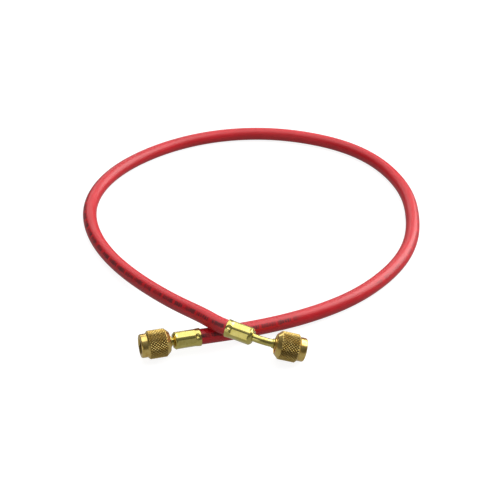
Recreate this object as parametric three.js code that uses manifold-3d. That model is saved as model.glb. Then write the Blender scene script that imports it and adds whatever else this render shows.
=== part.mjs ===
// A refrigerant charging hose, lying in one loop with its ends crossed at the front.
// Each end of the hose is crimped in a ferrule on a brass stem, and a knurled nut swivels on the stem.
// Units are millimetres, +Z is up and the floor is z = 0.
// The origin is on the floor, in the middle of the two end fittings.
// A fitting is modelled along its own +X, from the ferrule's mouth towards the nut's open end.
// A nut is modelled along its own +X too, from its back face towards its open end.

import * as THREE from "three";
import { mergeVertices } from "three/addons/utils/BufferGeometryUtils.js";
import Module from "manifold-3d";

const solids = await Module();
solids.setup();

// Clearance between pieces that touch on the real hose
const clearance = 0.3;

// Hose
const hoseRadius = 5.25;
const hoseBoreRadius = 2.4;
const crimpSqueeze = 0.65;
const crimpedHoseRadius = hoseRadius - crimpSqueeze;
const hoseSides = 12;
const hoseSteps = 64;

// Ferrule
const ferruleLength = 18.4;
const ferruleWall = 0.95;
const ferruleInnerRadius = crimpedHoseRadius + clearance;
const ferruleRadius = ferruleInnerRadius + ferruleWall;
const ferruleEndWall = 1.4;
const ferruleEndChamfer = 1.5;
const lipWall = 0.35;
const lipDepth = 1.2;
const lipTaper = 1.6;
const crimpFlats = 8;
const crimpFlatDepth = 0.35;
const crimpStart = 3.2;
const crimpEndLand = 3;

// Stem
const neckRadius = 2.6;
const stemBoreRadius = 1.2;
const barbStart = 2.5;
const stemCollarRadius = 3.2;
const stemCollarLength = 0.8;
const straightNeckLength = 1;
const bentNeckLength = 14.2;
const bentNeckStraight = 2.5;
const bentNeckAngle = THREE.MathUtils.degToRad(22.5);
const bentNeckRoll = THREE.MathUtils.degToRad(-21.5);
const flangeLength = 1.5;
const counterboreRadius = 1.8;
const counterboreDepth = 2.4;
const plainRecessDepth = 0.6;

// Swivel nut, with a 7/16-20 thread in its socket
const nutRadius = 9.45;
const nutBarrelLength = 15.3;
const nutBackChamferLength = 3.1;
const nutBackChamferDepth = 2.8;
const nutFrontChamferLength = 1.5;
const noseRadius = 7.85;
const noseLength = 4.3;
const noseChamfer = 0.7;
const bossRadius = 3.8;
const bossLength = 1.2;
const nutBackWall = 3.4;
const threadRadius = 5.1;
const mouthChamfer = 0.7;

// What the sockets hold: the stem's flange, the gasket and the core depressor
const flangeGap = 0.8;
const flangeRadius = threadRadius - flangeGap;
const gasketGap = 0.7;
const gasketRadius = threadRadius - gasketGap;
const gasketHoleRadius = 1.9;
const gasketThickness = 2.2;
const depressorPinRadius = 0.7;
const depressorPinReach = 5.5;
const depressorFlatOffset = 0.9;

// Where the two fittings lie: the plan position of each ferrule's mouth, heading and rise
const straightEnd = { x: -14.92, y: 8.02, heading: -163.5, rise: 2 };
const bentEnd = { x: 3.08, y: 5.43, heading: -21.5, rise: -8 };

// Points that the free hose follows, from the straight end round the loop to the bent end
const route = [
  [-1, 11.9, 8.1], [12, 15.8, 7.6], [40, 26.4, 6.3], [66, 39.2, 5.5], [90, 55.1, 5.3],
  [111, 75.5, 5.3], [128, 100, 5.3], [139, 128, 5.3], [143.5, 157.5, 5.3], [143, 187.5, 5.3],
  [135.5, 217, 5.3], [121, 244, 5.3], [99.5, 265.5, 5.3], [72.5, 280, 5.3], [43, 288, 5.3],
  [13, 289, 5.3], [-17, 283, 5.3], [-45.5, 270, 5.3], [-70, 251.5, 5.3], [-90, 228, 5.3],
  [-103, 200, 5.3], [-107, 169.5, 5.3], [-101.5, 139, 5.4], [-88.5, 109.5, 6], [-70.5, 82, 7.9],
  [-50, 56.2, 11.5], [-29, 32.9, 15.9], [-9.8, 14.1, 19.3], [-1.9, 7.7, 19.2],
];

const brass = { color: 0x9c7a33, roughness: 0.35, metalness: 1 };
const platedBrass = { color: 0xb5a545, roughness: 0.3, metalness: 1 };
const redRubber = { color: 0xb8323a, roughness: 0.5, metalness: 0 };
const blackRubber = { color: 0x1c1b1a, roughness: 0.7, metalness: 0 };

// Merges the vertices that a geometry's faces share, keeping only their positions
function welded(geometry) {
  const bare = geometry.clone();
  bare.deleteAttribute("normal");
  bare.deleteAttribute("uv");
  return mergeVertices(bare, 1e-5);
}

function toSolid(geometry) {
  const source = welded(geometry);
  return new solids.Manifold(new solids.Mesh({
    numProp: 3,
    vertProperties: new Float32Array(source.attributes.position.array),
    triVerts: new Uint32Array(source.index.array),
  }));
}

function toGeometry(solid) {
  const result = solid.getMesh();
  const geometry = new THREE.BufferGeometry();
  geometry.setAttribute("position", new THREE.BufferAttribute(result.vertProperties, 3));
  geometry.setIndex(new THREE.BufferAttribute(result.triVerts, 1));
  geometry.computeVertexNormals();
  return geometry;
}

// Turns a profile of [axial position, radius] pairs about the X axis
function turned(profile, sides) {
  const points = profile.map(([along, radius]) => new THREE.Vector2(radius, along));
  const geometry = new THREE.LatheGeometry(points, sides);
  return geometry.rotateZ(-Math.PI / 2);
}

// A round bar about the X axis
function bar(start, end, radius, sides) {
  return turned([[start, 0], [start, radius], [end, radius], [end, 0]], sides);
}

// A round bar of the given radius carried along a curve
function swept(curve, radius, sides, steps) {
  const section = new THREE.Shape();
  for (let i = 0; i < sides; i += 1) {
    const angle = (i / sides) * 2 * Math.PI;
    const point = [radius * Math.cos(angle), radius * Math.sin(angle)];
    if (i === 0) {
      section.moveTo(...point);
    } else {
      section.lineTo(...point);
    }
  }
  section.closePath();
  return new THREE.ExtrudeGeometry(section, { steps, extrudePath: curve, bevelEnabled: false });
}

function piece(name, geometry, look) {
  const mesh = new THREE.Mesh(geometry, new THREE.MeshStandardMaterial(look));
  mesh.name = name;
  return mesh;
}

// The ferrule: a thin cup with a flared lip over the hose and a bevelled end over the neck
function ferruleGeometry() {
  const lipInner = hoseRadius + clearance;
  const lipOuter = lipInner + lipWall;
  const holeRadius = neckRadius + clearance;
  const shell = toSolid(turned([
    [0, lipInner],
    [0, lipOuter],
    [lipDepth, lipOuter],
    [lipDepth + lipTaper, ferruleRadius],
    [ferruleLength - ferruleEndChamfer, ferruleRadius],
    [ferruleLength, ferruleRadius - ferruleEndChamfer],
    [ferruleLength, holeRadius],
    [ferruleLength - ferruleEndWall, holeRadius],
    [ferruleLength - ferruleEndWall, ferruleInnerRadius],
    [lipDepth + lipTaper, ferruleInnerRadius],
    [lipDepth, lipInner],
    [0, lipInner],
  ], 32));
  const clearOfFlats = 2 * ferruleRadius;
  const flatCorner = (ferruleRadius - crimpFlatDepth) / Math.cos(Math.PI / crimpFlats);
  const crimpEnd = ferruleLength - crimpEndLand;
  const flats = toSolid(turned([
    [-1, 0],
    [-1, clearOfFlats],
    [crimpStart, clearOfFlats],
    [crimpStart, flatCorner],
    [crimpEnd, flatCorner],
    [crimpEnd, clearOfFlats],
    [ferruleLength + 1, clearOfFlats],
    [ferruleLength + 1, 0],
  ], crimpFlats));
  return toGeometry(shell.intersect(flats));
}

// The stem's axis from a start in the ferrule: straight, then bent to one side over the neck's end
function stemAxis(start, neckLength, straightPart, angle) {
  const end = ferruleLength + neckLength;
  const bendStart = ferruleLength + straightPart;
  const points = [start, (start + bendStart) / 2].map((x) => new THREE.Vector3(x, 0, 0));
  if (angle === 0) {
    points.push(new THREE.Vector3(end, 0, 0));
    return new THREE.CatmullRomCurve3(points);
  }
  const bendRadius = (end - bendStart) / angle;
  const bendPoints = 5;
  for (let i = 0; i < bendPoints; i += 1) {
    const turn = (angle * i) / (bendPoints - 1);
    points.push(new THREE.Vector3(
      bendStart + bendRadius * Math.sin(turn),
      bendRadius * (1 - Math.cos(turn)),
      0,
    ));
  }
  return new THREE.CatmullRomCurve3(points);
}

// The stem: a barb in the hose, the neck, and the collar and flange that hold the nut
function stemGeometry(neckLength, straightPart, bend, nutPlace, counterbored) {
  const sides = 16;
  const flangeStart = bossLength + nutBackWall + clearance;
  const flangeEnd = flangeStart + flangeLength;
  const barbRadius = hoseBoreRadius - clearance;
  const neckStart = ferruleLength - ferruleEndWall;
  const neckAxis = stemAxis(neckStart, neckLength, straightPart, bend);
  const boreAxis = stemAxis(barbStart, neckLength, straightPart, bend);
  const barb = toSolid(bar(barbStart, neckStart + clearance, barbRadius, sides));
  const nutSide = turned([
    [-2 * clearance, 0],
    [-2 * clearance, neckRadius],
    [flangeStart, neckRadius],
    [flangeStart, flangeRadius],
    [flangeEnd, flangeRadius],
    [flangeEnd, 0],
  ], 24);
  const collar = bar(-clearance - stemCollarLength, -clearance, stemCollarRadius, 24);
  const bore = bar(-1, flangeEnd + 1, stemBoreRadius, 12);
  const depth = counterbored ? counterboreDepth : plainRecessDepth;
  const recess = bar(flangeEnd - depth, flangeEnd + 1, counterboreRadius, 16);
  let stem = barb.add(toSolid(swept(neckAxis, neckRadius, sides, 24)));
  stem = stem.add(toSolid(nutSide.applyMatrix4(nutPlace)));
  if (bend > 0) {
    stem = stem.add(toSolid(collar.applyMatrix4(nutPlace)));
  }
  stem = stem.subtract(toSolid(swept(boreAxis, stemBoreRadius, 12, 24)));
  stem = stem.subtract(toSolid(bore.applyMatrix4(nutPlace)));
  stem = stem.subtract(toSolid(recess.applyMatrix4(nutPlace)));
  return toGeometry(stem);
}

// The swivel nut: a barrel with bevelled shoulders, a boss behind, a smaller nose and a socket
function nutGeometry() {
  const barrelEnd = bossLength + nutBarrelLength;
  const nutEnd = barrelEnd + noseLength;
  const wallEnd = bossLength + nutBackWall;
  const holeRadius = neckRadius + clearance;
  return turned([
    [0, holeRadius],
    [0, bossRadius],
    [bossLength, bossRadius],
    [bossLength, nutRadius - nutBackChamferDepth],
    [bossLength + nutBackChamferLength, nutRadius],
    [barrelEnd - nutFrontChamferLength, nutRadius],
    [barrelEnd, noseRadius],
    [nutEnd - noseChamfer, noseRadius],
    [nutEnd, noseRadius - noseChamfer],
    [nutEnd, threadRadius + mouthChamfer],
    [nutEnd - mouthChamfer, threadRadius],
    [wallEnd, threadRadius],
    [wallEnd, holeRadius],
    [0, holeRadius],
  ], 48);
}

const gasketStart = bossLength + nutBackWall + clearance + flangeLength + clearance;

// The rubber washer that seals on the stem's flange
function gasketGeometry() {
  const gasketEnd = gasketStart + gasketThickness;
  return turned([
    [gasketStart, gasketHoleRadius],
    [gasketStart, gasketRadius],
    [gasketEnd, gasketRadius],
    [gasketEnd, gasketHoleRadius],
    [gasketStart, gasketHoleRadius],
  ], 32);
}

// The core depressor: a plug with two flats in the stem's counterbore, and its pin
function depressorGeometry() {
  const flangeEnd = gasketStart - clearance;
  const plugStart = flangeEnd - counterboreDepth + clearance;
  const plug = toSolid(bar(plugStart, flangeEnd, counterboreRadius - clearance, 16));
  const reach = 4 * counterboreRadius;
  let body = plug;
  for (const side of [-1, 1]) {
    const flat = new THREE.BoxGeometry(reach, reach, reach);
    flat.translate(flangeEnd, side * (depressorFlatOffset + reach / 2), 0);
    body = body.subtract(toSolid(flat));
  }
  const pin = toSolid(bar(plugStart + clearance, flangeEnd + depressorPinReach, depressorPinRadius, 12));
  return toGeometry(body.add(pin));
}

// One end fitting: ferrule, stem, nut and gasket, set down so that its nut rests on the floor
function endFitting(name, place, neckLength, straightPart, bend, roll, depressor) {
  const fitting = new THREE.Group();
  fitting.rotation.order = "ZYX";
  fitting.rotation.z = THREE.MathUtils.degToRad(place.heading);
  fitting.rotation.y = -THREE.MathUtils.degToRad(place.rise);
  fitting.rotation.x = roll;
  fitting.position.set(place.x, place.y, 0);

  const axis = stemAxis(barbStart, neckLength, straightPart, bend);
  const nutEnd = new THREE.Group();
  nutEnd.position.copy(axis.getPoint(1));
  nutEnd.rotation.z = bend;
  nutEnd.updateMatrix();

  fitting.add(piece(`${name}_ferrule`, ferruleGeometry(), platedBrass));
  const stem = stemGeometry(neckLength, straightPart, bend, nutEnd.matrix, depressor);
  fitting.add(piece(`${name}_stem`, stem, platedBrass));
  const nut = piece(`${name}_swivel_nut`, nutGeometry(), brass);
  nutEnd.add(nut);
  nutEnd.add(piece(`${name}_gasket`, gasketGeometry(), blackRubber));
  if (depressor) {
    nutEnd.add(piece("core_depressor", depressorGeometry(), brass));
  }
  fitting.add(nutEnd);

  fitting.updateMatrixWorld(true);
  fitting.position.z = -new THREE.Box3().setFromObject(nut, true).min.z;
  fitting.updateMatrixWorld(true);
  return fitting;
}

// A point on a fitting's axis, at a distance from the ferrule's mouth
function onAxis(fitting, distance) {
  return fitting.localToWorld(new THREE.Vector3(distance, 0, 0));
}

// The hose: a tube along the route, thinner where the ferrules squeeze it, with a bore
function hoseGeometry(firstEnd, lastEnd) {
  const entry = lipDepth - clearance;
  const tip = ferruleLength - ferruleEndWall - clearance;
  const free = route.map((point) => new THREE.Vector3(...point));
  const curve = new THREE.CatmullRomCurve3([onAxis(firstEnd, entry), ...free, onAxis(lastEnd, entry)]);
  let hose = toSolid(swept(curve, hoseRadius, hoseSides, hoseSteps));
  let bore = toSolid(swept(curve, hoseBoreRadius, hoseSides, hoseSteps));
  for (const end of [firstEnd, lastEnd]) {
    const squeezed = bar(-2, tip, crimpedHoseRadius, 24).applyMatrix4(end.matrixWorld);
    hose = hose.add(toSolid(squeezed));
    const opening = bar(-2, tip + 1, hoseBoreRadius, 24).applyMatrix4(end.matrixWorld);
    bore = bore.add(toSolid(opening));
  }
  return toGeometry(hose.subtract(bore));
}

const straight = endFitting("straight", straightEnd, straightNeckLength, 0, 0, 0, false);
const bent = endFitting(
  "bent", bentEnd, bentNeckLength, bentNeckStraight, bentNeckAngle, bentNeckRoll, true,
);

const chargingHose = new THREE.Group();
chargingHose.add(straight, bent);
chargingHose.add(piece("hose", hoseGeometry(straight, bent), redRubber));

export default chargingHose;
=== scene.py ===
"""A red refrigerant charging hose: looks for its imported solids.

Shapes are worked out in millimetres and become metres when a mesh is made.
A fitting's own x runs from the ferrule's mouth towards the nut's open end.
A nut's own x runs from its back face towards its open end.
"""
import math

import bpy
import numpy as np
from mathutils import Matrix


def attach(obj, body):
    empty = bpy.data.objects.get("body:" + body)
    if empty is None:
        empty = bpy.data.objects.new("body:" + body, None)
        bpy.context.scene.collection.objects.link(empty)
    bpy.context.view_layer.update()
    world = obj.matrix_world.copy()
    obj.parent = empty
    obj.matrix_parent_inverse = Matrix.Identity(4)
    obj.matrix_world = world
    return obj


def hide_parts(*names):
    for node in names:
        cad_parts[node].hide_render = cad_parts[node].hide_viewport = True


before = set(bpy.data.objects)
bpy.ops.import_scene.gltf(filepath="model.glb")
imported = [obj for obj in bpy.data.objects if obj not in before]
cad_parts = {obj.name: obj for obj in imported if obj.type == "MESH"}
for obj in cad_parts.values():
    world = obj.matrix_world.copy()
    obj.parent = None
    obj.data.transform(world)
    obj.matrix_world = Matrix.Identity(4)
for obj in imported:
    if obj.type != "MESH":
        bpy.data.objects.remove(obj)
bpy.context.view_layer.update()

MM = 0.001
TURN = 2 * math.pi

# ---------------------------------------------------------------- camera

CAMERA_PLACE = (0.01798, -0.54231, 0.46377)
CAMERA_TILT = math.radians(55)
CAMERA_LENS = 77.84


def make_camera():
    """The camera looks along +Y and down by 35 degrees."""
    lens = bpy.data.cameras.new("camera")
    lens.sensor_width = 36
    lens.lens = CAMERA_LENS
    lens.clip_start = 0.01
    lens.clip_end = 60
    camera = bpy.data.objects.new("camera", lens)
    camera.location = CAMERA_PLACE
    camera.rotation_euler = (CAMERA_TILT, 0, 0)
    bpy.context.scene.collection.objects.link(camera)
    bpy.context.scene.camera = camera


make_camera()

# ---------------------------------------------------------------- where the fittings lie


def unit(vector):
    """The vector at length 1."""
    return vector / np.linalg.norm(vector)


class Place:
    """A piece's own frame: where its origin is, and its x, y and z axes, in millimetres."""

    def __init__(self, origin, x, y):
        self.origin = np.array(origin, float)
        self.x = unit(np.array(x, float))
        self.z = unit(np.cross(self.x, np.array(y, float)))
        self.y = np.cross(self.z, self.x)

    def at(self, x, y, z):
        """Points of the frame, given as arrays of their own coordinates."""
        return (
            self.origin
            + np.multiply.outer(x, self.x)
            + np.multiply.outer(y, self.y)
            + np.multiply.outer(z, self.z)
        )


def fitting_place(mouth, heading, rise, roll):
    """A fitting's frame from its mouth's place and its heading, rise and roll in degrees."""
    heading, rise, roll = (math.radians(degrees) for degrees in (heading, rise, roll))
    ahead = math.cos(rise)
    x = np.array([math.cos(heading) * ahead, math.sin(heading) * ahead, math.sin(rise)])
    level = np.array([-math.sin(heading), math.cos(heading), 0])
    up = np.cross(x, level)
    return Place(mouth, x, math.cos(roll) * level + math.sin(roll) * up)


STRAIGHT = fitting_place((-14.92, 8.02, 8.645), -163.5, 2, 0)
BENT = fitting_place((3.08, 5.43, 18.431), -21.5, -8, -21.5)

FERRULE_LENGTH = 18.4
STRAIGHT_NECK = 1
BENT_NECK = 14.2
BENT_NECK_START = 2.5
BENT_NECK_ANGLE = math.radians(22.5)

# ---------------------------------------------------------------- the hose's path

HOSE_RADIUS = 5.25
HOSE_BORE = 2.4
HOSE_TIP = 16.7
HOSE_TIP_RADIUS = 4.75
HOSE_ENTRY = 0.9
ROUTE = [
    [-1, 11.9, 8.1], [12, 15.8, 7.6], [40, 26.4, 6.3], [66, 39.2, 5.5], [90, 55.1, 5.3],
    [111, 75.5, 5.3], [128, 100, 5.3], [139, 128, 5.3], [143.5, 157.5, 5.3], [143, 187.5, 5.3],
    [135.5, 217, 5.3], [121, 244, 5.3], [99.5, 265.5, 5.3], [72.5, 280, 5.3], [43, 288, 5.3],
    [13, 289, 5.3], [-17, 283, 5.3], [-45.5, 270, 5.3], [-70, 251.5, 5.3], [-90, 228, 5.3],
    [-103, 200, 5.3], [-107, 169.5, 5.3], [-101.5, 139, 5.4], [-88.5, 109.5, 6], [-70.5, 82, 7.9],
    [-50, 56.2, 11.5], [-29, 32.9, 15.9], [-9.8, 14.1, 19.3], [-1.9, 7.7, 19.2],
]


def spline(points, start_direction, end_direction, count):
    """A cubic spline with smooth curvature through the points, at count even steps.

    Its parameter is the length along the chords. The slopes at the points solve the
    tridiagonal equations that make the second derivatives agree, with both end slopes given.
    """
    knots = np.concatenate([[0], np.cumsum(np.linalg.norm(np.diff(points, axis=0), axis=1))])
    gap = np.diff(knots)
    system = np.zeros((len(points), len(points)))
    right = np.zeros_like(points)
    system[0, 0] = system[-1, -1] = 1
    right[0], right[-1] = start_direction, end_direction
    inner = np.arange(1, len(points) - 1)
    system[inner, inner - 1] = gap[1:]
    system[inner, inner] = 2 * (gap[:-1] + gap[1:])
    system[inner, inner + 1] = gap[:-1]
    rise = np.diff(points, axis=0) / gap[:, None]
    right[inner] = 3 * (gap[1:, None] * rise[:-1] + gap[:-1, None] * rise[1:])
    slopes = np.linalg.solve(system, right)

    def along(where):
        k = np.clip(np.searchsorted(knots, where, side="right") - 1, 0, len(gap) - 1)
        h, t = gap[k][:, None], ((where - knots[k]) / gap[k])[:, None]
        return (
            (2 * t**3 - 3 * t**2 + 1) * points[k]
            + (t**3 - 2 * t**2 + t) * h * slopes[k]
            + (3 * t**2 - 2 * t**3) * points[k + 1]
            + (t**3 - t**2) * h * slopes[k + 1]
        )

    fine = np.linspace(0, knots[-1], 20 * count)
    travelled = np.linalg.norm(np.diff(along(fine), axis=0), axis=1)
    travelled = np.concatenate([[0], np.cumsum(travelled)])
    return along(np.interp(np.linspace(0, travelled[-1], count), travelled, fine))


def hose_path():
    """Ring centres from tip to tip: straight in each ferrule, a spline along the route between."""
    ends = STRAIGHT.at(HOSE_ENTRY, 0, 0), BENT.at(HOSE_ENTRY, 0, 0)
    free = np.array([ends[0], *ROUTE, ends[1]], float)
    middle = spline(free, -STRAIGHT.x, BENT.x, 560)
    inside = np.linspace(HOSE_TIP, HOSE_ENTRY, 12)[:-1]
    zero = np.zeros_like(inside)
    return np.concatenate(
        [STRAIGHT.at(inside, zero, zero), middle, BENT.at(inside[::-1], zero, zero)]
    )


# ---------------------------------------------------------------- meshes


def angles(around):
    """A row of even angles round a full turn."""
    return TURN * np.arange(around)[None, :] / around


def turned(place, x, radius, angle):
    """Points at a radius and an angle about a place's x axis."""
    return place.at(x + 0 * angle, radius * np.cos(angle), radius * np.sin(angle))


def make_mesh_piece(name, points, finish, crease, attributes=None, uv=None):
    """A piece whose surface is a grid of rings and steps, closed in both directions.

    The face of ring i and step j joins the grid points i, i+1 and j, j+1, each counted
    round past the last, so the surface is a tube that closes on itself.
    """
    rings, around = points.shape[:2]
    i, j = np.meshgrid(np.arange(rings), np.arange(around), indexing="ij")
    i2, j2 = (i + 1) % rings, (j + 1) % around
    faces = np.stack([i * around + j, i * around + j2, i2 * around + j2, i2 * around + j], -1)
    faces = faces.reshape(-1, 4)
    return fill_mesh(name, points.reshape(-1, 3), faces, finish, crease, attributes, uv)


def fill_mesh(name, points, faces, finish, crease, attributes=None, uv=None):
    """Puts whole arrays of points and faces into a new mesh, with attributes and a UV map.

    Edges that turn by more than the crease, in degrees, stay sharp.
    """
    mesh = bpy.data.meshes.new(name)
    corners = faces.shape[1]
    mesh.vertices.add(len(points))
    mesh.vertices.foreach_set("co", (points * MM).astype(np.float32).ravel())
    mesh.loops.add(faces.size)
    mesh.loops.foreach_set("vertex_index", faces.astype(np.int32).ravel())
    mesh.polygons.add(len(faces))
    starts = np.arange(0, faces.size, corners, dtype=np.int32)
    mesh.polygons.foreach_set("loop_start", starts)
    mesh.polygons.foreach_set("use_smooth", np.ones(len(faces), bool))
    mesh.update(calc_edges=True)
    for key, values in (attributes or {}).items():
        layer = mesh.attributes.new(key, "FLOAT", "POINT")
        layer.data.foreach_set("value", values.astype(np.float32).ravel())
    if uv is not None:
        layer = mesh.uv_layers.new(name="surface")
        layer.data.foreach_set("uv", uv.astype(np.float32).ravel())
    mesh.validate()
    mesh.set_sharp_from_angle(angle=math.radians(crease))
    mesh.materials.append(finish)
    piece = bpy.data.objects.new(name, mesh)
    bpy.context.scene.collection.objects.link(piece)
    return piece


def fit_out(piece, body, slot, *nodes):
    """Says which body the piece rides on and the solids it stands for. The slot is not used."""
    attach(piece, body)
    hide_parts(*nodes)


def smoothstep(low, high, value):
    """0 at low, 1 at high, and t t (3 - 2 t) between them."""
    t = np.clip((value - low) / (high - low), 0, 1)
    return t * t * (3 - 2 * t)


def rounded(corners, radius=0.25, steps=4):
    """A closed profile of (x, r) corners with each corner rounded by a short quadratic arc.

    The arc starts and ends at the given distance from the corner, or at 0.4 of the side
    where that is less, and its control point is the corner.
    """
    corners = np.array(corners, float)
    before = np.roll(corners, 1, axis=0) - corners
    after = np.roll(corners, -1, axis=0) - corners
    reach_before = np.linalg.norm(before, axis=1, keepdims=True)
    reach_after = np.linalg.norm(after, axis=1, keepdims=True)
    cut = np.minimum(radius, 0.4 * np.minimum(reach_before, reach_after))
    first = corners + before / reach_before * cut
    last = corners + after / reach_after * cut
    t = np.linspace(0, 1, steps)[None, :, None]
    first, middle, last = first[:, None], corners[:, None], last[:, None]
    arcs = (1 - t) ** 2 * first + 2 * t * (1 - t) * middle + t**2 * last
    return arcs.reshape(-1, 2)


def filled_in(profile, longest):
    """The closed profile with its long sides divided so that no step is over the given length."""
    rows = []
    for start, end in zip(profile, np.roll(profile, -1, axis=0)):
        parts = max(1, math.ceil(np.linalg.norm(end - start) / longest))
        rows.append(start + (end - start) * np.linspace(0, 1, parts, endpoint=False)[:, None])
    return np.concatenate(rows)


# ---------------------------------------------------------------- materials


class Value:
    """A node's output. Arithmetic on it adds Math nodes to its material."""

    def __init__(self, finish, socket):
        self.finish, self.socket = finish, socket

    def math(self, operation, *operands):
        inputs = dict(enumerate(operands))
        return self.finish.node("ShaderNodeMath", {"operation": operation}, inputs)

    def __add__(self, other):
        return self.math("ADD", self, other)

    def __radd__(self, other):
        return self.math("ADD", other, self)

    def __sub__(self, other):
        return self.math("SUBTRACT", self, other)

    def __rsub__(self, other):
        return self.math("SUBTRACT", other, self)

    def __mul__(self, other):
        return self.math("MULTIPLY", self, other)

    def __truediv__(self, other):
        return self.math("DIVIDE", self, other)

    def __abs__(self):
        return self.math("ABSOLUTE", self)

    def part(self):
        """What is left of the value past its last whole number."""
        return self.math("FRACT", self)

    def whole(self):
        """The last whole number up to the value."""
        return self.math("FLOOR", self)

    def between(self, low, high):
        """0 at low and below, 1 at high and above, smooth in between."""
        return self.finish.node(
            "ShaderNodeMapRange",
            {"interpolation_type": "SMOOTHSTEP"},
            {"Value": self, "From Min": low, "From Max": high},
        )


class Nodes:
    """A node tree whose nodes all come from one method."""

    def __init__(self, tree, shader):
        self.tree, self.shader = tree, tree.nodes[shader]

    def join(self, socket, value):
        """Links a Value to a socket, or sets a constant on it."""
        if isinstance(value, Value):
            self.tree.links.new(value.socket, socket)
        else:
            socket.default_value = value

    def set(self, name, value):
        """Gives one of the shader's sockets its value."""
        self.join(self.shader.inputs[name], value)

    def node(self, kind, settings=None, inputs=None, output=0):
        """Adds a node: its settings first, then the values or links of its sockets.

        The setting "stops" gives a ramp its places, each with a shade of grey.
        """
        made = self.tree.nodes.new(kind)
        for name, value in (settings or {}).items():
            if name == "stops":
                for _ in value[2:]:
                    made.color_ramp.elements.new(0.5)
                for stop, (place, light) in zip(made.color_ramp.elements, value):
                    stop.position, stop.color = place, (light, light, light, 1)
            else:
                setattr(made, name, value)
        for name, value in (inputs or {}).items():
            self.join(made.inputs[name], value)
        return Value(self, made.outputs[output])


class Finish(Nodes):
    """A material in the making, with its Principled shader ready."""

    def __init__(self, name, **shader_inputs):
        self.material = bpy.data.materials.new(name)
        self.material.use_nodes = True
        super().__init__(self.material.node_tree, "Principled BSDF")
        for key, value in shader_inputs.items():
            self.set(key.replace("_", " "), value)

    def here(self):
        """Object coordinates, in metres."""
        return self.node("ShaderNodeTexCoord", output="Object")

    def noise(self, size, detail=2.0, roughness=0.5):
        """Noise from 0 to 1 whose features are about that many millimetres wide."""
        inputs = {
            "Vector": self.here(),
            "Scale": 1 / (size * MM),
            "Detail": detail,
            "Roughness": roughness,
        }
        return self.node("ShaderNodeTexNoise", None, inputs)

    def mix(self, share, first, second):
        """A colour between the first, at share 0, and the second, at share 1."""
        settings = {"data_type": "RGBA"}
        return self.node("ShaderNodeMix", settings, {0: share, 6: first, 7: second}, output=2)

    def attribute(self, name):
        """A number stored on the mesh's points."""
        return self.node("ShaderNodeAttribute", {"attribute_name": name}, output="Fac")

    def bump(self, height, depth, strength=1.0):
        """Sets the shader's normal from a height of 0 to 1 that stands for that depth in mm."""
        inputs = {"Strength": strength, "Distance": depth * MM, "Height": height}
        self.set("Normal", self.node("ShaderNodeBump", None, inputs))


def colour(red, green, blue):
    """A colour of 0 to 255 as the eye sees it, made linear for the shader."""
    values = np.array([red, green, blue]) / 255
    linear = np.where(values <= 0.04045, values / 12.92, ((values + 0.055) / 1.055) ** 2.4)
    return (*linear.tolist(), 1.0)


DASHES_TURN = 46 / 360
MARK_LENGTH = 1.9
GROUP_LENGTH = 11.4


def red_rubber_finish():
    """Semi-gloss red rubber, mottled, with a worn line of plain dark dashes along one side."""
    look = Finish("red_hose_rubber")
    look.set("Specular IOR Level", 0.65)
    surface = look.node("ShaderNodeUVMap", {"uv_map": "surface"})
    around = look.node("ShaderNodeSeparateXYZ", None, {0: surface}, output="X")
    along = look.node("ShaderNodeSeparateXYZ", None, {0: surface}, output="Y")
    broad = look.noise(38, detail=1)
    patches = look.noise(6, detail=3)
    grain = look.noise(0.35, detail=2)

    # Plain dashes of unequal width and height, in uneven groups, worn and blurred
    drift = (broad - 0.5) * 0.03
    across = (around - (0.5 + DASHES_TURN) + drift) * (TURN * HOSE_RADIUS)
    smear = look.noise(1.3, detail=2) - 0.5
    millimetres = along / MM + smear * 0.8
    mark = millimetres / MARK_LENGTH
    group = millimetres / GROUP_LENGTH
    one_d = {"noise_dimensions": "1D"}
    chance = look.node("ShaderNodeTexWhiteNoise", one_d, {"W": mark.whole()})
    luck = look.node("ShaderNodeTexWhiteNoise", one_d, {"W": group.whole() + 0.5})
    half_tall = 1.1 + chance * 0.5 + smear * 1.2
    half_wide = 0.34 + chance * 0.22
    in_mark = (half_wide - abs(mark.part() - 0.5)).between(-0.12, 0.1)
    in_group = (0.33 + luck * 0.12 - abs(group.part() - 0.5)).between(-0.01, 0.01)
    in_height = (half_tall - abs(across)).between(-0.3, 0.35)
    worn = patches.between(0.3, 0.6)

    # The dashes are nearly worn off on one short stretch and stronger further on
    bare = along.between(0.08, 0.088) - along.between(0.146, 0.152) * 0.4
    kept = 1 - bare + along.between(0.4, 0.5) * 0.6
    ink = in_mark * in_group * in_height * (0.45 + worn * 0.4) * kept

    base = look.mix(patches.between(0.3, 0.75), colour(194, 12, 26), colour(203, 18, 33))
    base = look.mix(broad.between(0.35, 0.7) * 0.5, base, colour(178, 11, 24))
    base = look.mix(grain.between(0.6, 0.85) * 0.1, base, colour(206, 44, 52))
    base = look.mix(ink, base, colour(66, 30, 33))
    look.set("Base Color", base)
    look.set("Roughness", 0.3 + patches * 0.14 + grain * 0.06)
    look.bump(grain * 0.7 + patches * 0.3, 0.05, 0.5)
    return look.material


def brass_finish(name, bright, deep, stain_and_shade, roughness, groove=False):
    """Brass: turned and plated metal, a little tarnished, with painted shade and some grime
    darkening its grooves and recesses.
    """
    look = Finish(name, Metallic=1.0)
    cloud = look.noise(3.2, detail=3, roughness=0.55)
    fine = look.noise(0.4, detail=2)
    base = look.mix(cloud.between(0.35, 0.7), bright, deep)
    base = look.mix(fine.between(0.62, 0.85) * 0.2, base, stain_and_shade)
    shine = roughness + cloud * 0.08
    if groove:
        # Painted shade, with some grime: the mesh's groove value darkens the knurl's grooves, the
        # thread and the socket towards the stain colour
        depth = look.attribute("groove")
        base = look.mix(depth * 0.95, base, stain_and_shade)
        shine = shine + depth * 0.15
    look.set("Base Color", base)
    look.set("Roughness", shine)
    look.bump(fine, 0.01, 0.15)
    return look.material


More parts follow.
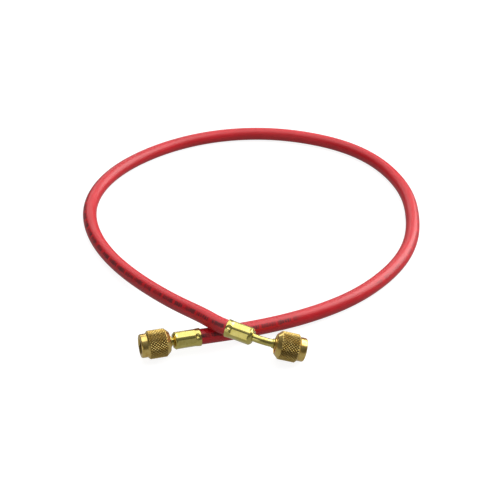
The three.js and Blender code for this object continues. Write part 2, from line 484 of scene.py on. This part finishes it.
def seal_finish():
    """Matt black rubber with a moulded grain."""
    look = Finish("black_seal_rubber")
    grain = look.noise(0.25, detail=3)
    worn = look.noise(1.6, detail=2)
    look.set("Base Color", look.mix(worn.between(0.4, 0.7), colour(22, 21, 20), colour(44, 42, 40)))
    look.set("Roughness", 0.62 + grain * 0.2)
    look.bump(grain, 0.04, 0.6)
    return look.material


RED = red_rubber_finish()
PLATED = brass_finish(
    "plated_fitting_brass",
    colour(220, 207, 124), colour(210, 195, 106), colour(140, 124, 54), 0.18,
)
# The nut's brass takes painted shade, with some grime, in its grooves and socket, in the same
# colour as its tarnish
NUT_BRASS = brass_finish(
    "turned_nut_brass",
    colour(234, 206, 126), colour(216, 180, 94), colour(84, 56, 14), 0.2, groove=True,
)
SEAL = seal_finish()

# ---------------------------------------------------------------- the hose


def make_hose():
    """A tube carried along the path, its wall from the outside to the bore and back.

    A ring's point is the centre + r (cos a up + sin a outward), where outward is the
    direction of travel crossed with the world's up. The radius narrows inside the ferrules.
    """
    around = 40
    centres = hose_path()
    travel = np.gradient(centres, axis=0)
    travel /= np.linalg.norm(travel, axis=1, keepdims=True)
    outward = np.cross(travel, [0, 0, 1.0])
    outward /= np.linalg.norm(outward, axis=1, keepdims=True)
    up = np.cross(outward, travel)
    steps = np.linalg.norm(np.diff(centres, axis=0), axis=1)
    along = np.concatenate([[0], np.cumsum(steps)])
    from_tip = np.minimum(along, along[-1] - along)
    widening = smoothstep(HOSE_TIP - 3, HOSE_TIP - HOSE_ENTRY, from_tip)
    radius = HOSE_TIP_RADIUS + (HOSE_RADIUS - HOSE_TIP_RADIUS) * widening
    angle = -math.pi + TURN * np.arange(around)[None, :, None] / around
    spokes = np.cos(angle) * up[:, None] + np.sin(angle) * outward[:, None]

    def shell(ring_radius):
        return centres[:, None] + ring_radius[:, None, None] * spokes

    bore = np.full_like(radius, HOSE_BORE)
    points = np.concatenate([shell(radius), shell(bore)[::-1]])
    rings = len(points)
    place_along = np.concatenate([along, along[::-1]]) * MM
    turn = np.arange(around + 1) / around
    i, j = np.meshgrid(np.arange(rings), np.arange(around), indexing="ij")
    i2 = (i + 1) % rings
    corners = [(j, i), (j + 1, i), (j + 1, i2), (j, i2)]
    uv = np.stack([np.stack([turn[a], place_along[b]], -1) for a, b in corners], -2)
    piece = make_mesh_piece("red_charging_hose", points, RED, 40, uv=uv)
    fit_out(piece, "hose_assembly", "red_hose", "hose")


make_hose()

# ---------------------------------------------------------------- ferrules

FERRULE_RADIUS = 5.85
FERRULE_BORE = 4.85
MOUTH_RADIUS = 6.0
MOUTH_BORE = 5.45
FLAT_RADIUS = 5.5
DIMPLE_X = 2.5
DIMPLE_DEPTH = 0.8
NECK_RADIUS = 2.6


def make_ferrule(name, place, flat_angle, dimple_angle, node):
    """A thin cup turned about x, pressed flat on six sides, with one round dimple.

    At angle a from a flat's middle the pressed radius is the smaller of the round one and
    flat / cos a, with the corner between them smoothed. The dimple lowers the radius by a
    rounded hollow near the mouth, with a slightly raised rim.
    """
    length = FERRULE_LENGTH
    corners = [
        [0.0, MOUTH_BORE], [0.0, MOUTH_RADIUS], [0.8, MOUTH_RADIUS + 0.02], [2.9, FERRULE_RADIUS],
        [length - 1.5, FERRULE_RADIUS], [length, FERRULE_RADIUS - 1.5],
        [length, NECK_RADIUS + 0.08], [length - 1.4, NECK_RADIUS + 0.08],
        [length - 1.4, FERRULE_BORE], [2.8, FERRULE_BORE], [1.2, MOUTH_BORE],
    ]
    profile = filled_in(rounded(corners, 0.3, 4), 0.22)
    x, r = profile[:, 0][:, None], profile[:, 1][:, None]
    angle = angles(192)
    outside = r > FLAT_RADIUS
    pressed = smoothstep(2.6, 4.4, x) * smoothstep(length - 1.6, length - 3.0, x)
    from_flat = (angle - flat_angle + TURN / 12) % (TURN / 6) - TURN / 12
    spare = FERRULE_RADIUS - FLAT_RADIUS / np.cos(from_flat)
    target = FERRULE_RADIUS - (spare + np.hypot(spare, 0.05)) / 2
    radius = np.where(outside, r + (target - r) * pressed, r)
    away = np.abs((angle - dimple_angle + math.pi) % TURN - math.pi)
    distance = np.hypot(away * FERRULE_RADIUS, x - DIMPLE_X)
    hollow = DIMPLE_DEPTH * (1 - smoothstep(0.5, 1.6, distance))
    raised_rim = 0.1 * np.exp(-(((distance - 1.75) / 0.3) ** 2))
    radius = np.where(outside, radius - (hollow - raised_rim), radius)
    piece = make_mesh_piece(name, turned(place, x, radius, angle), PLATED, 35)
    fit_out(piece, "hose_assembly", "plated_brass", node)


def angle_to_camera(place, x):
    """The angle about a fitting's axis that faces the camera, at a distance from its mouth."""
    sight = np.array(CAMERA_PLACE) / MM - place.at(x, 0, 0)
    return math.atan2(sight @ place.z, sight @ place.y)


# Seen from the camera, a greater angle is higher on the straight end and lower on the bent one
for name, place, up, flat, node in (
    ("straight_end_ferrule", STRAIGHT, 1, 38, "straight_ferrule"),
    ("bent_end_ferrule", BENT, -1, 44, "bent_ferrule"),
):
    facing = angle_to_camera(place, DIMPLE_X)
    flat_angle = facing + up * math.radians(flat)
    make_ferrule(name, place, flat_angle, facing + up * math.radians(8), node)

# ---------------------------------------------------------------- stems

BOSS_LENGTH = 1.2
NUT_BACK_WALL = 3.4
FLANGE_START = BOSS_LENGTH + NUT_BACK_WALL + 0.3
FLANGE_END = FLANGE_START + 1.5
FLANGE_RADIUS = 4.3
STEM_BORE = 1.2
SEAT_RADIUS = 1.8
BARBS = 4
BARB_SPACING = 3.2
BARB_ROOT = 2.12
BARB_CREST = 2.38


def neck_axis(s, start, end, bend):
    """The x, y and heading of a fitting's axis at lengths s, with a bend from start to end.

    Before the bend a point at s is (s, 0). In it the axis turns by (s - start) / R about
    its own centre, and past it runs straight at the full angle. R is (end - start) / bend.
    """
    if not bend:
        return s, 0 * s, 0 * s
    heading = np.clip((s - start) / (end - start), 0, 1) * bend
    radius = (end - start) / bend
    past = np.maximum(s - end, 0)
    x = np.minimum(s, start) + radius * np.sin(heading) + past * math.cos(bend)
    y = radius * (1 - np.cos(heading)) + past * math.sin(bend)
    return x, y, heading


def make_stem(name, place, neck_length, straight_part, bend, recess, node):
    """A hollow stem carried along the fitting's axis, its rings standing across the axis.

    A ring's point at angle a is the axis + r (cos a sideways + sin a z).
    """
    start = FERRULE_LENGTH + straight_part
    end = FERRULE_LENGTH + neck_length
    flange = end + FLANGE_START
    tip = end + FLANGE_END
    barbs = []
    for k in range(BARBS):
        foot = 3.0 + BARB_SPACING * k
        barbs += [[foot, BARB_ROOT], [foot + 2.7, BARB_CREST], [foot + 2.9, BARB_ROOT]]
    collar = [
        [end - 1.5, NECK_RADIUS], [end - 1.1, 3.2], [end - 0.35, 3.2], [end - 0.3, NECK_RADIUS]
    ]
    corners = [
        [2.5, STEM_BORE], [2.5, 1.9], *barbs, [16.7, BARB_ROOT], [17.05, NECK_RADIUS],
        *(collar if bend else []), [flange, NECK_RADIUS], [flange, FLANGE_RADIUS],
        [tip, FLANGE_RADIUS], [tip, SEAT_RADIUS], [tip - recess, SEAT_RADIUS],
        [tip - recess, STEM_BORE],
    ]
    profile = filled_in(rounded(corners, 0.22, 3), 0.7)
    s, r = profile[:, 0], profile[:, 1]
    x, y, heading = (values[:, None] for values in neck_axis(s, start, end, bend))
    angle = angles(64)
    side, height = r[:, None] * np.cos(angle), r[:, None] * np.sin(angle)
    points = place.at(x - side * np.sin(heading), y + side * np.cos(heading), height)
    piece = make_mesh_piece(name, points, PLATED, 35)
    fit_out(piece, "hose_assembly", "plated_brass", node)


make_stem("straight_end_stem", STRAIGHT, STRAIGHT_NECK, 0, 0, 0.6, "straight_stem")
make_stem("bent_end_stem", BENT, BENT_NECK, BENT_NECK_START, BENT_NECK_ANGLE, 2.4, "bent_stem")

# ---------------------------------------------------------------- nuts


def nut_place(fitting, neck_length, straight_part, bend):
    """The nut's frame: its back face is at the end of the neck, square to it."""
    start = FERRULE_LENGTH + straight_part
    end = FERRULE_LENGTH + neck_length
    x, y, _ = neck_axis(end, start, end, bend)
    direction = math.cos(bend) * fitting.x + math.sin(bend) * fitting.y
    sideways = math.cos(bend) * fitting.y - math.sin(bend) * fitting.x
    return Place(fitting.at(x, y, 0), direction, sideways)


STRAIGHT_NUT = nut_place(STRAIGHT, STRAIGHT_NECK, 0, 0)
BENT_NUT = nut_place(BENT, BENT_NECK, BENT_NECK_START, BENT_NECK_ANGLE)

NUT_RADIUS = 9.45
NUT_HOLE = 2.85
BARREL_START = BOSS_LENGTH
BARREL_END = 16.5
BACK_EDGE = (1.35, 6.79)
BACK_SLOPE = 0.903
FRONT_EDGE = (BARREL_END - 0.05, 7.93)
FRONT_SLOPE = 1.067
NOSE_RADIUS = 7.85
NUT_END = 20.8
KNURL_TEETH = 32
KNURL_STEPS = 8
KNURL_PITCH = 2.1
KNURL_DEPTH = 0.6
THREAD_PITCH = 1.27
THREAD_ROOT = 5.45
THREAD_DEPTH = 0.5


def knurl_depth(x, turn):
    """How far the diamond knurl lies below its crests, from 0 to 1.

    Two sets of V grooves run round in opposite screws. Each one's depth is a triangle
    wave of (teeth times turn, plus or minus x / pitch), and the deeper one counts.
    """
    one = np.abs((KNURL_TEETH * turn + x / KNURL_PITCH) % 1 - 0.5) * 2
    other = np.abs((KNURL_TEETH * turn - x / KNURL_PITCH) % 1 - 0.5) * 2
    return np.clip(np.maximum(one, other) * 1.15 - 0.15, 0, 1)


def make_nut(name, place, body, node):
    """A nut turned about x, its barrel knurled within two bevels and its socket threaded.

    The outer radius is the smallest of the knurl and the two bevels' cones. In the socket
    the radius is the thread's root less its depth times a triangle wave of x / pitch - turn.
    """
    around = KNURL_TEETH * KNURL_STEPS
    turn = np.arange(around)[None, :] / around
    back = np.array([
        [0, NUT_HOLE], [0, 3.5], [0.25, 3.8], [BARREL_START + 0.1, 3.8], [1.55, 3.95], [1.9, 4.5],
        [1.9, 5.4], [1.6, 5.95], [BARREL_START, 6.2], [BARREL_START, 6.55], BACK_EDGE,
    ])
    barrel = np.arange(1.6, 16.3, KNURL_PITCH / KNURL_STEPS)
    front = np.array([
        FRONT_EDGE, [BARREL_END + 0.2, NOSE_RADIUS], [19.6, NOSE_RADIUS], [20.25, 7.72],
        [20.65, 7.4], [NUT_END, 7.0], [NUT_END, 6.0], [20.6, 5.75], [20.0, 5.3],
    ])
    thread = np.arange(19.7, 9.6, -THREAD_PITCH / 8)
    bottom = np.array([
        [9.4, THREAD_ROOT], [5.0, THREAD_ROOT], [4.6, 5.3], [4.6, 3.0], [4.4, NUT_HOLE],
    ])

    def plain(rows, groove):
        """Rows whose radius and painted groove shade are the same all round."""
        radius = rows[:, 1:] + 0 * turn
        return rows[:, 0], radius, np.full_like(radius, groove)

    back_cone = BACK_EDGE[1] + (barrel - BACK_EDGE[0]) * BACK_SLOPE
    front_cone = FRONT_EDGE[1] + (FRONT_EDGE[0] - barrel) * FRONT_SLOPE
    cone = np.minimum(back_cone, front_cone)[:, None]
    depth = knurl_depth(barrel[:, None], turn)
    knurled = np.minimum(NUT_RADIUS - KNURL_DEPTH * depth, cone)
    wave = np.abs((thread[:, None] / THREAD_PITCH - turn) % 1 - 0.5) * 2
    runout = (smoothstep(20.2, 18.9, thread) * smoothstep(9.6, 10.6, thread))[:, None]
    screw = THREAD_ROOT - THREAD_DEPTH * np.clip(1.25 * wave - 0.1, 0, 1) * runout
    shoulder = np.clip((cone - (NUT_RADIUS - KNURL_DEPTH)) / KNURL_DEPTH, 0, 1)
    # The third entry of each part is painted shade: darkening in the knurl's grooves, all along the
    # thread and on the socket's bottom
    parts = [
        plain(back, 0),
        (barrel, knurled, depth * shoulder),
        plain(front, 0),
        (thread, screw, 0.35 + 0.5 * (1 - wave) * runout),
        plain(bottom, 0.6),
    ]
    x, radius, groove = (np.concatenate([part[k] for part in parts]) for k in range(3))
    points = turned(place, x[:, None], radius, TURN * turn)
    piece = make_mesh_piece(name, points, NUT_BRASS, 28, {"groove": groove})
    fit_out(piece, body, "nut_brass", node)


make_nut("straight_end_nut", STRAIGHT_NUT, "straight_nut", "straight_swivel_nut")
make_nut("bent_end_nut", BENT_NUT, "bent_nut", "bent_swivel_nut")

# ---------------------------------------------------------------- seals and the core depressor

GASKET_START = FLANGE_END + 0.02
GASKET_END = 8.9


def make_gasket(name, place, node):
    """A rubber washer turned about x from a rounded rectangle, with a shallow ring on its face."""
    corners = [
        [GASKET_START, 1.9], [GASKET_START, 4.4], [GASKET_END, 4.4], [GASKET_END, 3.7],
        [GASKET_END - 0.25, 3.4], [GASKET_END - 0.25, 2.9], [GASKET_END, 2.6], [GASKET_END, 1.9],
    ]
    profile = filled_in(rounded(corners, 0.25, 4), 0.6)
    x, r = profile[:, 0][:, None], profile[:, 1][:, None]
    piece = make_mesh_piece(name, turned(place, x, r, angles(96)), SEAL, 40)
    fit_out(piece, "hose_assembly", "seal_rubber", node)


make_gasket("straight_end_gasket", STRAIGHT_NUT, "straight_gasket")
make_gasket("bent_end_gasket", BENT_NUT, "bent_gasket")


PLUG_FLAT = 0.9


def make_depressor(place):
    """A plug with two flats and a domed pin, on one axis, closed at both ends by a fan.

    The plug's radius is the smaller of its round one and flat / |cos a|. The pin is round.
    A row holds x, the radius and 1 where the flats cut.
    """
    around = 48
    plug_start = FLANGE_END - 2.1
    plug_end = FLANGE_END
    pin_end = FLANGE_END + 5.5
    rows = [
        [plug_start, 0.02, 0], [plug_start, 1.2, 1], [plug_start + 0.3, 1.5, 1],
        [plug_end - 0.3, 1.5, 1], [plug_end, 1.25, 1], [plug_end + 0.05, 0.9, 0],
        [plug_end + 0.35, 0.7, 0], [pin_end - 0.6, 0.7, 0], [pin_end - 0.35, 0.66, 0],
        [pin_end - 0.15, 0.52, 0], [pin_end - 0.04, 0.3, 0], [pin_end, 0.02, 0],
    ]
    x, r, flats = np.array(rows).T[:, :, None]
    angle = angles(around)
    cut = PLUG_FLAT / np.maximum(np.abs(np.cos(angle)), 1e-3)
    radius = np.where(flats > 0, np.minimum(r, cut), r)
    points = turned(place, x, radius, angle).reshape(-1, 3)
    count = len(rows)
    ends = place.at(np.array([plug_start, pin_end]), np.zeros(2), np.zeros(2))
    points = np.concatenate([points, ends])
    i, j = np.meshgrid(np.arange(count - 1), np.arange(around), indexing="ij")
    j2 = (j + 1) % around
    a, b = i * around + j, (i + 1) * around + j
    c, d = (i + 1) * around + j2, i * around + j2
    sides = np.concatenate([np.stack([a, c, b], -1), np.stack([a, d, c], -1)]).reshape(-1, 3)
    j, j2 = np.arange(around), (np.arange(around) + 1) % around
    last = (count - 1) * around
    first_fan = np.stack([0 * j + count * around, j2, j], -1)
    last_fan = np.stack([0 * j + count * around + 1, last + j, last + j2], -1)
    faces = np.concatenate([sides, first_fan, last_fan])
    clean = {"groove": np.zeros(len(points))}
    piece = fill_mesh("depressor_pin", points, faces, NUT_BRASS, 35, clean)
    fit_out(piece, "hose_assembly", "nut_brass", "core_depressor")


make_depressor(BENT_NUT)

# ---------------------------------------------------------------- floor and light


SKY_SIDES, SKY_ABOVE = 0.12, 0.24
FLOOR_REACH = 20000.0
DOME_REACH = 19000.0
LOOP_MIDDLE = (0.02, 0.12, 0)


def make_floor(name, finish, height, hidden_from):
    """A flat square forty metres wide at a height, hidden from the rays that are named."""
    points = np.array([[-1, -1, 0], [1, -1, 0], [1, 1, 0], [-1, 1, 0]]) * FLOOR_REACH
    points[:, 2] = height
    floor = fill_mesh(name, points, np.array([[0, 1, 2, 3]]), finish, 30)
    for ray in hidden_from:
        setattr(floor, "visible_" + ray, False)


def make_stage():
    """Three floors 0.1 mm apart: one the camera sees, one lights the object, one is mirrored."""
    unlike_camera = ("diffuse", "glossy", "transmission", "shadow")
    for name, height, base, glow, hidden_from in (
        ("floor", 0, 0.25, 0.88, unlike_camera),
        ("bounce_floor", -0.1, 0.27, 0, ("camera", "glossy")),
        ("mirrored_floor", -0.2, 0.15, 0.4, ("camera", "diffuse", "shadow")),
    ):
        white = Finish(name, Roughness=1.0, Base_Color=(base, base, base, 1))
        white.set("Specular IOR Level", 0.0)
        white.set("Emission Color", (1, 1, 1, 1))
        white.set("Emission Strength", glow)
        make_floor(name, white.material, height, hidden_from)


def area_light(name, place, target, width, height, power, mirrored=True):
    """A soft rectangular light that faces its target and isn't seen itself."""
    lamp = bpy.data.lights.new(name, "AREA")
    lamp.shape = "RECTANGLE"
    lamp.size, lamp.size_y = width, height
    lamp.energy = power
    light = bpy.data.objects.new(name, lamp)
    light.location = place
    sight = np.array(target, float) - np.array(place, float)
    away = unit(-sight)
    right = unit(np.cross([0, 1.0, 0] if abs(away[2]) > 0.95 else [0, 0, 1.0], away))
    turned = Matrix([right, np.cross(away, right), away]).transposed()
    light.rotation_euler = turned.to_euler()
    light.visible_camera = False
    light.visible_glossy = mirrored
    bpy.context.scene.collection.objects.link(light)


def make_world():
    """Dim surroundings, darker at the sides than overhead."""
    world = bpy.data.worlds.new("studio")
    world.use_nodes = True
    bpy.context.scene.world = world
    sky = Nodes(world.node_tree, "Background")
    where = sky.node("ShaderNodeTexCoord", output="Generated")
    height = sky.node("ShaderNodeSeparateXYZ", None, {0: where}, output="Z")
    level = sky.node("ShaderNodeMapRange", None, {"Value": height, "From Min": -1})
    stops = {"stops": [(0.5, SKY_SIDES), (0.78, SKY_SIDES), (1.0, SKY_ABOVE)]}
    sky.set("Color", sky.node("ShaderNodeValToRGB", stops, {0: level}))


def make_backdrop():
    """A white dome far round the floor, seen by the camera only."""
    glow = Finish("white_backdrop", Base_Color=(0, 0, 0, 1), Emission_Color=(1, 1, 1, 1))
    glow.set("Emission Strength", 1.0)
    glow.set("Specular IOR Level", 0.0)
    rings, around = 12, 32
    tilt = np.linspace(0.02, 1, rings)[:, None] * math.pi / 2
    angle = angles(around)
    points = np.stack(
        [
            DOME_REACH * np.sin(tilt) * np.cos(angle),
            DOME_REACH * np.sin(tilt) * np.sin(angle),
            DOME_REACH * np.cos(tilt) + 0 * angle,
        ],
        -1,
    ).reshape(-1, 3)
    i, j = np.meshgrid(np.arange(rings - 1), np.arange(around), indexing="ij")
    j2 = (j + 1) % around
    here, below = i * around, (i + 1) * around
    faces = np.stack([here + j, below + j, below + j2, here + j2], -1)
    dome = fill_mesh("backdrop", points, faces.reshape(-1, 4), glow.material, 180)
    for ray in ("visible_diffuse", "visible_glossy", "visible_transmission", "visible_shadow"):
        setattr(dome, ray, False)


make_stage()
make_backdrop()
make_world()
area_light("top_softbox", (0.0, 0.35, 1.0), LOOP_MIDDLE, 1.4, 1.1, 7)
area_light("key_softbox", (0.85, 0.55, 0.7), LOOP_MIDDLE, 1.2, 1.1, 17)
area_light("back_softbox", (-0.2, 1.3, 0.55), LOOP_MIDDLE, 1.2, 0.35, 3)
area_light("left_card", (-0.55, -0.8, 0.22), (0.01, 0, 0), 0.45, 0.5, 0.6)
area_light("front_fill", (0.1, -1.1, 1.0), LOOP_MIDDLE, 1.6, 1.2, 4.8, mirrored=False)
bpy.context.scene.view_settings.view_transform = "Standard"

# ---------------------------------------------------------------- update the scene

bpy.context.view_layer.update()
